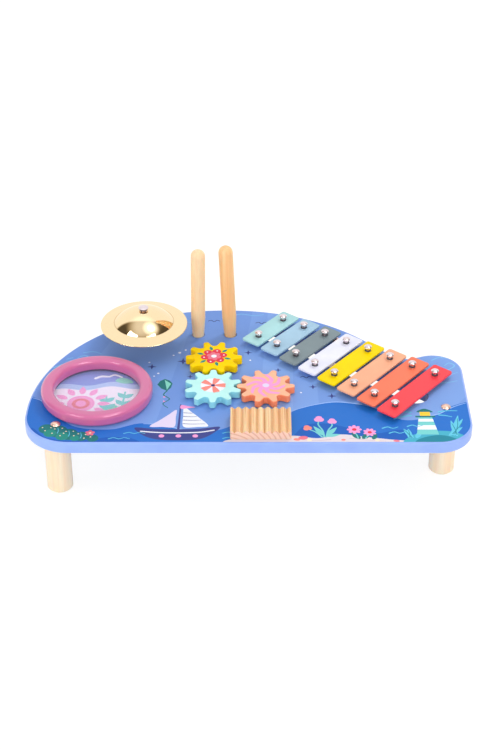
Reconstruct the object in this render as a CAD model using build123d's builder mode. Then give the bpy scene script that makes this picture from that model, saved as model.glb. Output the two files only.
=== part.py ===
from build123d import *
import math
import os

# Musical activity table for small children: a rounded board on four dowel legs that carries a
# drum, a cymbal, a train of three gears, a scraper, a xylophone and two beaters.
# Millimetres. X runs to the right, Y to the back, Z up. The origin is on the floor, under the
# middle of the board's bounding rectangle.

# ---------------------------------------------------------------- driving dimensions

# Tabletop
board_length = 430
board_depth = 240
board_thickness = 12
board_top_round = 2
board_bottom_round = 1
front_left_radius = 45
left_straight = 8
back_straight = 8
shoulder_from_right = 151
waist_from_right = 59
waist_from_back = 98
cheek_from_back = 74
waist_radius = 20
rear_right_radius = 28
front_right_radius = 35

# Legs
leg_length = 62
leg_diameter = 25
leg_chamfer = 2
front_left_leg_inset = (31, 30)
right_leg_inset = (23, 59)
rear_left_leg_inset = (97, 47)
rear_right_leg_from_slot = 7
rear_right_leg_from_row_middle = 31.5
leg_bolt_diameter = 6
leg_bolt_reach = 13
leg_bolt_head_diameter = 9.4
leg_bolt_head_height = 2.8
leg_bolt_hole_play = 0.5
insert_diameter = 9
insert_length = 15

# Drum
drum_inset = (67, 79)
drum_diameter = 109
drum_ring_width = 12.6
drum_ring_height = 13
drum_ring_top_round = 4.5
drum_ring_bottom_round = 3.5
drum_clamp_width = 6.6
drum_skin_height = 2.8
drum_skin_thickness = 0.4

# Scraper
guiro_from_middle = 12
guiro_from_front = 26
guiro_length = 58
guiro_width = 40
guiro_height = 9.5
guiro_pitch = 7.1
guiro_groove_count = 8
guiro_groove_width = 5.6
guiro_groove_depth = 2.6
guiro_ridge_round = 0.6
guiro_end_round = 2
guiro_screw_spacing = 36

# Cymbal
cymbal_from_middle = -106.5
cymbal_from_back = 66
cymbal_diameter = 88.4
cymbal_thickness = 0.8
cymbal_edge_round = 0.35
cymbal_rim_height = 24
cymbal_rim_fall = 2.4
cymbal_dome_diameter = 60.4
cymbal_dome_rise = 14.1
cymbal_hole_diameter = 8
cymbal_seat_gap = 0.35
cymbal_washer_diameter = 12
cymbal_washer_thickness = 3
cymbal_washer_crown = 20
cymbal_post_diameter = 12
cymbal_bolt_diameter = 5
cymbal_bolt_play = 0.3
cymbal_head_diameter = 10.2
cymbal_head_height = 1.5
cymbal_head_gap = 2.4
cymbal_nut_width = 8
cymbal_nut_height = 4
cymbal_nut_washer_diameter = 12
cymbal_nut_washer_thickness = 1.2
cymbal_thread_end = 1.5

# Gears
gear_teeth = 10
gear_tip_diameter = 57
gear_root_diameter = 41
gear_tooth_tip_width = 5.2
gear_tooth_root_width = 8.8
gear_tip_round = 2.2
gear_root_round = 2.6
gear_edge_round = 1.2
gear_thickness = 7.5
gear_centre_distance = 51.8
gear_from_middle = -34.5
gear_from_front = 83.6
gear_spacer_thickness = 1.5
gear_spacer_diameter = 18
gear_axle_diameter = 10
gear_axle_running_play = 0.05
gear_axle_seat = 5
gear_end_float = 0.4
gear_washer_diameter = 18
gear_washer_thickness = 1.2
gear_screw_diameter = 3.5
gear_screw_length = 12
gear_screw_head_diameter = 7
gear_screw_head_height = 2.2
gear_screw_head_round = 0.9

# Xylophone
row_from_right = 121.5
row_from_front = 135.6
bar_angle = 50.9
bar_pitch = 25.75
bar_width = 21.8
bar_thickness = 2
bar_first_length = 69
bar_length_step = 4.5
bar_first_screw_spacing = 41
bar_screw_spacing_step = 4
bar_corner_round = 2.5
bar_edge_round = 0.4
bar_hole_play = 0.3
bush_height = 5
bush_diameter = 10
bush_sleeve_diameter = 6
bush_sleeve_rise = 0.9
bar_screw_diameter = 4.2
bar_screw_head_diameter = 7.8
bar_screw_head_height = 2.5
bar_screw_head_gap = 4
bar_screw_depth = 9
slot_width = 25
slot_overhang = 13.6

# Beaters
beater_diameter = 14.5
beater_length = 114
beater_foot_diameter = 11
beater_taper_length = 30
beater_hole_diameter = 13.4
beater_hole_depth = 9
beater_floor_gap = 0.8
beater_left_from_middle = -52
beater_right_from_middle = -18.6
beater_from_back = 49
beater_left_lean = (0.9, -5)
beater_right_lean = (-2.3, -1)

# Countersunk wood screws, driven up through the board
wood_screw_diameter = 3
wood_screw_head_diameter = 6
wood_screw_bite = 6
wood_screw_wall = 1
thread_play = 0.05

# The straight lip under a domed head's crown, as a share of the head's height
head_lip_share = 0.3

# ---------------------------------------------------------------- levels, edges and places

left = -board_length / 2
right = board_length / 2
front = -board_depth / 2
back = board_depth / 2
board_under = leg_length
board_top = leg_length + board_thickness

bar_names = ("mint", "light_blue", "grey_green", "white", "yellow", "peach", "orange", "red")
along_bar = Vector(math.cos(math.radians(bar_angle)), math.sin(math.radians(bar_angle)))
along_row = Vector(along_bar.Y, -along_bar.X)
row_middle = Vector(right - row_from_right, front + row_from_front)
row_span = (len(bar_names) - 1) * bar_pitch


def row_place(on_bar, on_row):
    """A place on the xylophone, from the middle of the row, along a bar and along the row."""
    place = row_middle + along_bar * on_bar + along_row * on_row
    return place.X, place.Y


# The leg under the bars stands clear of the slot, and its bolt clear of the bushes.
rear_right_leg_on_bar = slot_width / 2 + rear_right_leg_from_slot + leg_diameter / 2
leg_places = {
    "front_left": (left + front_left_leg_inset[0], front + front_left_leg_inset[1]),
    "right": (right - right_leg_inset[0], front + right_leg_inset[1]),
    "rear_left": (left + rear_left_leg_inset[0], back - rear_left_leg_inset[1]),
    "rear_right": row_place(rear_right_leg_on_bar, -rear_right_leg_from_row_middle),
}
drum_place = (left + drum_inset[0], front + drum_inset[1])
guiro_place = (guiro_from_middle, front + guiro_from_front)
cymbal_place = (cymbal_from_middle, back - cymbal_from_back)
teal_place = (gear_from_middle, front + gear_from_front)
gear_places = {
    "teal": teal_place,
    "yellow": (teal_place[0], teal_place[1] + gear_centre_distance),
    "orange": (teal_place[0] + gear_centre_distance, teal_place[1]),
}
beater_places = {
    "left": (beater_left_from_middle, back - beater_from_back),
    "right": (beater_right_from_middle, back - beater_from_back),
}
beater_leans = {"left": beater_left_lean, "right": beater_right_lean}


def bar_centre_on_row(index):
    return index * bar_pitch - row_span / 2


def bar_screw_places(index):
    reach = (bar_first_screw_spacing + index * bar_screw_spacing_step) / 2
    return [row_place(side * reach, bar_centre_on_row(index)) for side in (-1, 1)]


all_bar_screw_places = [place for i in range(len(bar_names)) for place in bar_screw_places(i)]

drum_inner_radius = drum_diameter / 2 - drum_ring_width
drum_rebate_radius = drum_inner_radius + drum_clamp_width
drum_screw_radius = drum_rebate_radius + wood_screw_diameter / 2 + wood_screw_wall
drum_screw_places = [
    (
        drum_place[0] + drum_screw_radius * math.cos(math.radians(45 + 90 * quarter)),
        drum_place[1] + drum_screw_radius * math.sin(math.radians(45 + 90 * quarter)),
    )
    for quarter in range(4)
]
guiro_screw_places = [
    (guiro_place[0] + side * guiro_screw_spacing / 2, guiro_place[1]) for side in (-1, 1)
]


def at_height(places, height):
    return [(x, y, height) for x, y in places]


def save(part, name):
    part.label = name
    export_step(part, f"parts/{name}.step")


os.makedirs("parts", exist_ok=True)

# ---------------------------------------------------------------- tabletop

# The back edge is one sweep: a large arc from the left side, then another down to the shoulder.
left_sweep_radius = board_depth - front_left_radius - left_straight
shoulder = Vector(right - shoulder_from_right, back)
waist = Vector(right - waist_from_right, back - waist_from_back)
cheek = Vector(right, back - cheek_from_back)
shoulder_turn = math.atan2(shoulder.Y - waist.Y, waist.X - shoulder.X)
waist_turn = shoulder_turn + math.atan2(cheek.Y - waist.Y, cheek.X - waist.X)
free_back_edge = shoulder.X - left - left_sweep_radius
free_shoulder_edge = (waist - shoulder).length - waist_radius * math.tan(waist_turn / 2)
back_sweep_radius = (min(free_back_edge, free_shoulder_edge) - back_straight) / math.tan(
    shoulder_turn / 2
)

with BuildPart() as tabletop:
    with BuildSketch(Plane.XY.offset(board_under)):
        with BuildLine():
            FilletPolyline(
                (left, front),
                (left, back),
                (shoulder.X, shoulder.Y),
                (waist.X, waist.Y),
                (cheek.X, cheek.Y),
                (right, front),
                radius=[
                    front_left_radius,
                    left_sweep_radius,
                    back_sweep_radius,
                    waist_radius,
                    rear_right_radius,
                    front_right_radius,
                ],
                close=True,
            )
        make_face()
    extrude(amount=board_thickness)
    fillet(tabletop.edges().group_by(Axis.Z)[-1], board_top_round)
    fillet(tabletop.edges().group_by(Axis.Z)[0], board_bottom_round)

    # Sound slot under the bars
    with BuildSketch(Plane.XY.offset(board_under)):
        with Locations((row_middle.X, row_middle.Y)):
            SlotOverall(row_span + 2 * slot_overhang, slot_width, rotation=bar_angle - 90)
    extrude(amount=board_thickness, mode=Mode.SUBTRACT)

    # Through holes for the leg bolts, the cymbal bolt and the gear axles
    with Locations(*at_height(leg_places.values(), board_top)):
        Hole((leg_bolt_diameter + leg_bolt_hole_play) / 2, board_thickness)
    with Locations((*cymbal_place, board_top)):
        Hole(cymbal_bolt_diameter / 2 + cymbal_bolt_play, board_thickness)
    with Locations(*at_height(gear_places.values(), board_top)):
        Hole(gear_axle_diameter / 2 + gear_axle_running_play, board_thickness)

    # Blind holes for the beaters and the xylophone's screws
    with Locations(*at_height(beater_places.values(), board_top)):
        Hole(beater_hole_diameter / 2, beater_hole_depth)
    with Locations(*at_height(all_bar_screw_places, board_top)):
        Hole(bar_screw_diameter / 2 + thread_play, bar_screw_depth + thread_play)

    # Countersunk holes from below, for the screws of the drum and the scraper
    with BuildSketch(Plane.XZ) as countersink_profile:
        with BuildLine():
            Polyline(
                (0, 0),
                (wood_screw_head_diameter / 2 + thread_play, 0),
                (
                    wood_screw_diameter / 2 + thread_play,
                    (wood_screw_head_diameter - wood_screw_diameter) / 2,
                ),
                (wood_screw_diameter / 2 + thread_play, board_thickness),
                (0, board_thickness),
                close=True,
            )
        make_face()
    with Locations(*at_height(drum_screw_places + guiro_screw_places, board_under)):
        add(
            revolve(countersink_profile.sketch, axis=Axis.Z, mode=Mode.PRIVATE),
            mode=Mode.SUBTRACT,
        )

save(tabletop.part, "tabletop")

# ---------------------------------------------------------------- legs

for leg_name, leg_place in leg_places.items():
    with BuildPart() as leg:
        with BuildSketch(Plane.XY):
            with Locations(leg_place):
                Circle(leg_diameter / 2)
        extrude(amount=leg_length)
        chamfer(leg.edges().group_by(Axis.Z)[0], leg_chamfer)
        with Locations((*leg_place, leg_length)):
            Hole(insert_diameter / 2 + thread_play, insert_length + thread_play)
    save(leg.part, f"leg_{leg_name}")

with BuildPart() as leg_inserts:
    with BuildSketch(Plane.XY.offset(leg_length - insert_length)):
        with Locations(*leg_places.values()):
            Circle(insert_diameter / 2)
            Circle(leg_bolt_diameter / 2 + thread_play, mode=Mode.SUBTRACT)
    extrude(amount=insert_length)
save(leg_inserts.part, "leg_inserts")


def dome_line(radius, lip, top):
    """A round crown over a head: an arc from the head's lip up to its middle, flat there."""
    rise = top - lip
    sphere = (radius**2 + rise**2) / (2 * rise)
    half_way = radius / 2
    half_way_height = top - sphere + math.sqrt(sphere**2 - half_way**2)
    return ThreePointArc((radius, lip), (half_way, half_way_height), (0, top))


def domed_head(radius, height, neck_radius, neck_length):
    """A bolt standing on the origin's plane by its head's underside, with its neck below."""
    with BuildPart() as bolt:
        with BuildSketch(Plane.XZ):
            with BuildLine():
                lip = height * head_lip_share
                Polyline(
                    (0, height),
                    (0, -neck_length),
                    (neck_radius, -neck_length),
                    (neck_radius, 0),
                    (radius, 0),
                    (radius, lip),
                )
                dome_line(radius, lip, height)
            make_face()
        revolve(axis=Axis.Z)
    return bolt.part


with BuildPart() as leg_bolts:
    with Locations(*at_height(leg_places.values(), board_top)):
        add(
            domed_head(
                leg_bolt_head_diameter / 2,
                leg_bolt_head_height,
                leg_bolt_diameter / 2,
                board_thickness + leg_bolt_reach,
            )
        )
save(leg_bolts.part, "leg_bolts")

# ---------------------------------------------------------------- countersunk screws from below


def wood_screw():
    """A countersunk screw that points up, its head flush with the origin's plane."""
    radius = wood_screw_diameter / 2
    head_radius = wood_screw_head_diameter / 2
    tip = board_thickness + wood_screw_bite
    with BuildPart() as screw:
        with BuildSketch(Plane.XZ):
            with BuildLine():
                Polyline(
                    (0, 0),
                    (head_radius, 0),
                    (radius, head_radius - radius),
                    (radius, tip - 2 * radius),
                    (0, tip),
                    close=True,
                )
            make_face()
        revolve(axis=Axis.Z)
    return screw.part


with BuildPart() as drum_screws:
    with Locations(*at_height(drum_screw_places, board_under)):
        add(wood_screw())
save(drum_screws.part, "drum_screws")

with BuildPart() as guiro_screws:
    with Locations(*at_height(guiro_screw_places, board_under)):
        add(wood_screw())
save(guiro_screws.part, "guiro_screws")

# ---------------------------------------------------------------- drum

drum_plane = Plane((*drum_place, board_top))
drum_section_plane = Plane(drum_plane.origin, x_dir=(1, 0, 0), z_dir=(0, -1, 0))
drum_axis = Axis(drum_plane.origin, (0, 0, 1))
clamp_top = drum_skin_height + drum_skin_thickness

with BuildPart() as drum_ring:
    with BuildSketch(drum_section_plane) as ring_section:
        with Locations((drum_inner_radius + drum_ring_width / 2, drum_ring_height / 2)):
            Rectangle(drum_ring_width, drum_ring_height)
        fillet(ring_section.vertices().group_by(Axis.Z)[-1], drum_ring_top_round)
        fillet(ring_section.vertices().group_by(Axis.Z)[0], drum_ring_bottom_round)
        with Locations((drum_rebate_radius / 2, clamp_top / 2)):
            Rectangle(drum_rebate_radius, clamp_top, mode=Mode.SUBTRACT)
    revolve(axis=drum_axis)
    with Locations(*at_height(drum_screw_places, board_top)):
        Cylinder(
            wood_screw_diameter / 2 + thread_play,
            wood_screw_bite + thread_play,
            align=(Align.CENTER, Align.CENTER, Align.MIN),
            mode=Mode.SUBTRACT,
        )
save(drum_ring.part, "drum_ring")

with BuildPart() as drum_hoop:
    with BuildSketch(drum_plane):
        Circle(drum_rebate_radius - thread_play)
        Circle(drum_inner_radius + drum_ring_bottom_round / 2, mode=Mode.SUBTRACT)
    extrude(amount=drum_skin_height)
save(drum_hoop.part, "drum_hoop")

with BuildPart() as drum_skin:
    with BuildSketch(drum_plane.offset(drum_skin_height)):
        Circle(drum_rebate_radius - thread_play)
    extrude(amount=drum_skin_thickness)
save(drum_skin.part, "drum_skin")

# ---------------------------------------------------------------- scraper

guiro_section_plane = Plane(
    (guiro_place[0], guiro_place[1] + guiro_width / 2, board_top), x_dir=(1, 0, 0), z_dir=(0, -1, 0)
)

with BuildPart() as guiro_block:
    with BuildSketch(guiro_section_plane) as guiro_section:
        Rectangle(guiro_length, guiro_height, align=(Align.CENTER, Align.MIN))
        with Locations((0, guiro_height)):
            with GridLocations(guiro_pitch, 0, guiro_groove_count, 1):
                with BuildLine(mode=Mode.PRIVATE) as groove:
                    Polyline(
                        (-guiro_groove_width / 2, 0),
                        (0, -guiro_groove_depth),
                        (guiro_groove_width / 2, 0),
                        close=True,
                    )
                add(make_face(groove.edges(), mode=Mode.PRIVATE), mode=Mode.SUBTRACT)
        fillet(guiro_section.vertices().group_by(Axis.Z)[-1], guiro_ridge_round)
    extrude(amount=guiro_width)
    with BuildSketch(Plane((*guiro_place, board_top))):
        RectangleRounded(guiro_length, guiro_width, guiro_end_round)
    extrude(amount=guiro_height, mode=Mode.INTERSECT)
    with Locations(*at_height(guiro_screw_places, board_top)):
        Cylinder(
            wood_screw_diameter / 2 + thread_play,
            wood_screw_bite + thread_play,
            align=(Align.CENTER, Align.CENTER, Align.MIN),
            mode=Mode.SUBTRACT,
        )
save(guiro_block.part, "guiro_block")

# ---------------------------------------------------------------- cymbal

cymbal_section_plane = Plane((*cymbal_place, board_top), x_dir=(1, 0, 0), z_dir=(0, -1, 0))
cymbal_axis = Axis((*cymbal_place, board_top), (0, 0, 1))
crease_radius = cymbal_dome_diameter / 2
crease_height = cymbal_rim_height + cymbal_rim_fall
dome_radius = (crease_radius**2 + cymbal_dome_rise**2) / (2 * cymbal_dome_rise)
dome_centre = crease_height + cymbal_dome_rise - dome_radius


def on_dome(radius, from_axis):
    """Height of a sphere of the given radius, about the dome's centre, above the board."""
    return dome_centre + math.sqrt(radius**2 - from_axis**2)


inner_dome_radius = dome_radius - cymbal_thickness
rim_under = cymbal_rim_height - cymbal_thickness
crease_under = crease_height - cymbal_thickness
inner_crease = math.sqrt(inner_dome_radius**2 - (crease_under - dome_centre) ** 2)
hole_radius = cymbal_hole_diameter / 2
mid_dome = crease_radius / 2

with BuildPart() as cymbal:
    with BuildSketch(cymbal_section_plane) as cymbal_section:
        with BuildLine():
            FilletPolyline(
                (crease_radius, crease_height),
                (cymbal_diameter / 2, cymbal_rim_height),
                (cymbal_diameter / 2, rim_under),
                (inner_crease, crease_under),
                radius=cymbal_edge_round,
            )
            ThreePointArc(
                (inner_crease, crease_under),
                (mid_dome, on_dome(inner_dome_radius, mid_dome)),
                (hole_radius, on_dome(inner_dome_radius, hole_radius)),
            )
            Line(
                (hole_radius, on_dome(inner_dome_radius, hole_radius)),
                (hole_radius, on_dome(dome_radius, hole_radius)),
            )
            ThreePointArc(
                (hole_radius, on_dome(dome_radius, hole_radius)),
                (mid_dome, on_dome(dome_radius, mid_dome)),
                (crease_radius, crease_height),
            )
        make_face()
    revolve(axis=cymbal_axis)
save(cymbal.part, "cymbal")

# The washer's crowned top lets the cymbal rock, and its gap to the dome is least at the hole.
washer_bore = cymbal_bolt_diameter / 2 + cymbal_bolt_play
crown_at_hole = on_dome(inner_dome_radius, hole_radius) - cymbal_seat_gap
crown_centre = crown_at_hole - math.sqrt(cymbal_washer_crown**2 - hole_radius**2)


def on_crown(from_axis):
    return crown_centre + math.sqrt(cymbal_washer_crown**2 - from_axis**2)


post_top = on_crown(washer_bore) - cymbal_washer_thickness
washer_radius = cymbal_washer_diameter / 2

with BuildPart() as cymbal_washer:
    with BuildSketch(cymbal_section_plane):
        with BuildLine():
            Polyline(
                (washer_bore, on_crown(washer_bore)),
                (washer_bore, post_top),
                (washer_radius, post_top),
                (washer_radius, on_crown(washer_radius)),
            )
            ThreePointArc(
                (washer_radius, on_crown(washer_radius)),
                ((washer_radius + washer_bore) / 2, on_crown((washer_radius + washer_bore) / 2)),
                (washer_bore, on_crown(washer_bore)),
            )
        make_face()
    revolve(axis=cymbal_axis)
save(cymbal_washer.part, "cymbal_washer")

with BuildPart() as cymbal_post:
    with BuildSketch(Plane((*cymbal_place, board_top))):
        Circle(cymbal_post_diameter / 2)
        Circle(cymbal_bolt_diameter / 2 + thread_play, mode=Mode.SUBTRACT)
    extrude(amount=post_top)
save(cymbal_post.part, "cymbal_post")

head_base = on_dome(dome_radius, hole_radius) + cymbal_head_gap
nut_base = -board_thickness - cymbal_nut_washer_thickness - cymbal_nut_height
bolt_end = nut_base - cymbal_thread_end

with BuildPart() as cymbal_bolt:
    with Locations((*cymbal_place, board_top + head_base)):
        add(
            domed_head(
                cymbal_head_diameter / 2,
                cymbal_head_height,
                cymbal_bolt_diameter / 2,
                head_base - bolt_end,
            )
        )
save(cymbal_bolt.part, "cymbal_bolt")

with BuildPart() as cymbal_nut:
    with BuildSketch(Plane((*cymbal_place, board_top + nut_base))):
        RegularPolygon(cymbal_nut_width / 2, 6, major_radius=False)
        Circle(cymbal_bolt_diameter / 2 + thread_play, mode=Mode.SUBTRACT)
    extrude(amount=cymbal_nut_height)
save(cymbal_nut.part, "cymbal_nut")

with BuildPart() as cymbal_nut_washer:
    with BuildSketch(Plane((*cymbal_place, board_top + nut_base + cymbal_nut_height))):
        Circle(cymbal_nut_washer_diameter / 2)
        Circle(cymbal_bolt_diameter / 2 + cymbal_bolt_play, mode=Mode.SUBTRACT)
    extrude(amount=cymbal_nut_washer_thickness)
save(cymbal_nut_washer.part, "cymbal_nut_washer")

# ---------------------------------------------------------------- gears


def polar(radius, across, angle):
    """A point at the given distance from the centre and sideways offset, turned by an angle."""
    bearing = math.radians(angle) + math.asin(across / radius)
    return radius * math.cos(bearing), radius * math.sin(bearing)


def gear_outline(first_tooth):
    """Corners of the toothed outline with their rounding radii, one tooth after another."""
    corners, radii = [], []
    for tooth in range(gear_teeth):
        angle = first_tooth + tooth * 360 / gear_teeth
        root_half, tip_half = gear_tooth_root_width / 2, gear_tooth_tip_width / 2
        corners += [
            polar(gear_root_diameter / 2, -root_half, angle),
            polar(gear_tip_diameter / 2, -tip_half, angle),
            polar(gear_tip_diameter / 2, tip_half, angle),
            polar(gear_root_diameter / 2, root_half, angle),
        ]
        radii += [gear_root_round, gear_tip_round, gear_tip_round, gear_root_round]
    return corners, radii


# Half a tooth of turn sets a tooth of the teal gear into each gap of its neighbours.
half_pitch_angle = 180 / gear_teeth
first_tooth_angles = {"teal": half_pitch_angle, "yellow": 0, "orange": 0}
gear_bottom = board_top + gear_spacer_thickness
axle_end = board_under - gear_end_float
screw_end = axle_end + gear_screw_length - gear_washer_thickness

for gear_name, gear_place in gear_places.items():
    with BuildPart() as gear:
        outline_corners, outline_radii = gear_outline(first_tooth_angles[gear_name])
        with BuildSketch(Plane((*gear_place, gear_bottom))):
            with BuildLine():
                FilletPolyline(*outline_corners, radius=outline_radii, close=True)
            make_face()
        extrude(amount=gear_thickness)
        fillet(gear.edges().group_by(Axis.Z)[-1], gear_edge_round)
        with BuildSketch(Plane((*gear_place, gear_bottom))):
            Circle(gear_axle_diameter / 2)
        extrude(amount=gear_axle_seat, mode=Mode.SUBTRACT)
    save(gear.part, f"gear_{gear_name}")

    with BuildPart() as axle:
        with BuildSketch(Plane((*gear_place, axle_end))):
            Circle(gear_axle_diameter / 2)
        extrude(amount=gear_bottom + gear_axle_seat - axle_end)
        with BuildSketch(Plane((*gear_place, axle_end))):
            Circle(gear_screw_diameter / 2 + thread_play)
        extrude(amount=screw_end - axle_end + thread_play, mode=Mode.SUBTRACT)
    save(axle.part, f"gear_{gear_name}_axle")

    with BuildPart() as keeper:
        with BuildSketch(Plane((*gear_place, axle_end - gear_washer_thickness))):
            Circle(gear_washer_diameter / 2)
            Circle(gear_screw_diameter / 2 + thread_play, mode=Mode.SUBTRACT)
        extrude(amount=gear_washer_thickness)
    save(keeper.part, f"gear_{gear_name}_washer")

    with BuildPart() as screw:
        head_plane = Plane((*gear_place, axle_end - gear_washer_thickness - gear_screw_head_height))
        with BuildSketch(head_plane):
            Circle(gear_screw_head_diameter / 2)
        extrude(amount=gear_screw_head_height)
        fillet(screw.edges().group_by(Axis.Z)[0], gear_screw_head_round)
        with BuildSketch(head_plane.offset(gear_screw_head_height)):
            Circle(gear_screw_diameter / 2)
        extrude(amount=gear_screw_length)
    save(screw.part, f"gear_{gear_name}_screw")

with BuildPart() as gear_spacers:
    with BuildSketch(Plane.XY.offset(board_top)):
        with Locations(*gear_places.values()):
            Circle(gear_spacer_diameter / 2)
            Circle(gear_axle_diameter / 2 + gear_axle_running_play, mode=Mode.SUBTRACT)
    extrude(amount=gear_spacer_thickness)
save(gear_spacers.part, "gear_spacers")

# ---------------------------------------------------------------- xylophone

sleeve_top = bush_height + bar_thickness + bush_sleeve_rise

with BuildPart() as bush:
    with BuildSketch(Plane.XY):
        Circle(bush_diameter / 2)
    extrude(amount=bush_height)
    with BuildSketch(Plane.XY.offset(bush_height)):
        Circle(bush_sleeve_diameter / 2)
    extrude(amount=bar_thickness + bush_sleeve_rise)
    with Locations((0, 0, sleeve_top)):
        Hole(bar_screw_diameter / 2 + thread_play, sleeve_top)

with BuildPart() as bar_bushes:
    with Locations(*at_height(all_bar_screw_places, board_top)):
        add(bush.part)
save(bar_bushes.part, "bar_bushes")

head_under = bush_height + bar_thickness + bar_screw_head_gap

with BuildPart() as bar_screws:
    with Locations(*at_height(all_bar_screw_places, board_top + head_under)):
        add(
            domed_head(
                bar_screw_head_diameter / 2,
                bar_screw_head_height,
                bar_screw_diameter / 2,
                head_under + bar_screw_depth,
            )
        )
save(bar_screws.part, "bar_screws")

for index, bar_name in enumerate(bar_names):
    bar_length = bar_first_length + index * bar_length_step
    bar_middle = row_place(0, bar_centre_on_row(index))
    with BuildPart() as bar:
        with BuildSketch(Plane.XY.offset(board_top + bush_height)):
            with Locations(Location((*bar_middle, 0), (0, 0, bar_angle))):
                RectangleRounded(bar_length, bar_width, bar_corner_round)
            with Locations(*bar_screw_places(index)):
                Circle(bush_sleeve_diameter / 2 + bar_hole_play, mode=Mode.SUBTRACT)
        extrude(amount=bar_thickness)
        chamfer(bar.faces().sort_by(Axis.Z)[-1].outer_wire().edges(), bar_edge_round)
    save(bar.part, f"bar_{bar_name}")

# ---------------------------------------------------------------- beaters

for beater_name, beater_place in beater_places.items():
    lean_right, lean_back = (math.tan(math.radians(lean)) for lean in beater_leans[beater_name])
    beater_direction = Vector(lean_right, lean_back, 1).normalized()
    half_depth = Vector(0, 0, board_top - beater_hole_depth / 2)
    foot = (
        Vector(*beater_place)
        + half_depth
        - beater_direction * (beater_hole_depth / 2 - beater_floor_gap)
    )
    across_beater = beater_direction.cross(Vector(0, -1, 0)).normalized()
    section_plane = Plane(foot, x_dir=across_beater, z_dir=across_beater.cross(beater_direction))
    with BuildPart() as beater:
        with BuildSketch(section_plane):
            radius = beater_diameter / 2
            shaft_end = beater_length - radius
            with BuildLine():
                Polyline(
                    (0, beater_length),
                    (0, 0),
                    (beater_foot_diameter / 2, 0),
                    (radius, beater_taper_length),
                    (radius, shaft_end),
                )
                RadiusArc((radius, shaft_end), (0, beater_length), -radius)
            make_face()
        revolve(axis=Axis(foot, beater_direction))
    save(beater.part, f"beater_{beater_name}")
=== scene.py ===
import math

import bpy
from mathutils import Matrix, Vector
from mathutils.geometry import delaunay_2d_cdt

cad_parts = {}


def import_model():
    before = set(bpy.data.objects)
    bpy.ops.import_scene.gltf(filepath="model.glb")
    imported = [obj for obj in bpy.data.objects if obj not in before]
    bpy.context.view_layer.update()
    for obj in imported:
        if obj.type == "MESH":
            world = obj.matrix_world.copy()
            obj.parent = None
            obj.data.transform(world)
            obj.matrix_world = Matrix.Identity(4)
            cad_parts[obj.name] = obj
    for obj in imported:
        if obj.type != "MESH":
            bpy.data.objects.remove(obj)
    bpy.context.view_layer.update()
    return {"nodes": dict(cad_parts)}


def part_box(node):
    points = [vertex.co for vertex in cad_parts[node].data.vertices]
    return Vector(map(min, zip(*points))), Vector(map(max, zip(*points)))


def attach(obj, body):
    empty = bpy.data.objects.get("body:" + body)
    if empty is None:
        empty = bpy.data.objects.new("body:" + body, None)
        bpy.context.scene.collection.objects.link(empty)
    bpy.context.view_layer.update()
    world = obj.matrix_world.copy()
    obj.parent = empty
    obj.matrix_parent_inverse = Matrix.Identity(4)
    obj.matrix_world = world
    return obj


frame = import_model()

# Looks for the musical activity table. Plans are in millimetres in the frame of the part, and
# meshes are in metres. X runs to the right, Y to the back, Z up.

nodes = frame["nodes"]

MM = 0.001


def middle(node):
    """The middle of a node's box seen from above, to a tenth of a millimetre."""
    low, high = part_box(node)
    return tuple(round((low[axis] + high[axis]) / 2 / MM, 1) for axis in (0, 1))


(LEFT, FRONT), (RIGHT, BACK) = (
    [round(side / MM, 1) for side in corner[:2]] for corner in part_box("tabletop"))
BOARD_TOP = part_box("tabletop")[1].z / MM
GEAR_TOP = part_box("gear_teal")[1].z / MM
GEARS = {name: middle(f"gear_{name}") for name in ("teal", "yellow", "orange")}
DRUM = middle("drum_ring")
CYMBAL = middle("cymbal")

# The sound slot runs under the middles of the bars, square to them. It reaches this far each way
# to the centres of its round ends.
ROW_MIDDLE = (93.5, 15.6)
BAR_ANGLE = 50.9
SLOT_TURN = BAR_ANGLE - 90
SLOT_REACH = 91.2
SLOT_RADIUS = 12.5


# ---------------------------------------------------------------- node materials

# Where the Mix node has its two colours and their mixture
MIX_FIRST, MIX_SECOND, MIX_RESULT = 6, 7, 2

# The scale of wood's pattern along its grain, where it is one across it
GRAIN_SCALE = 0.035


def linear(rgb):
    """A colour in 0-255 display values as the linear RGBA that shaders use."""
    values = [channel / 255 for channel in rgb]
    return tuple(v / 12.92 if v <= 0.04045 else ((v + 0.055) / 1.055) ** 2.4 for v in values) + (1.0,)


def shade(rgb, factor):
    return tuple(min(255, channel * factor) for channel in rgb)


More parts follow.
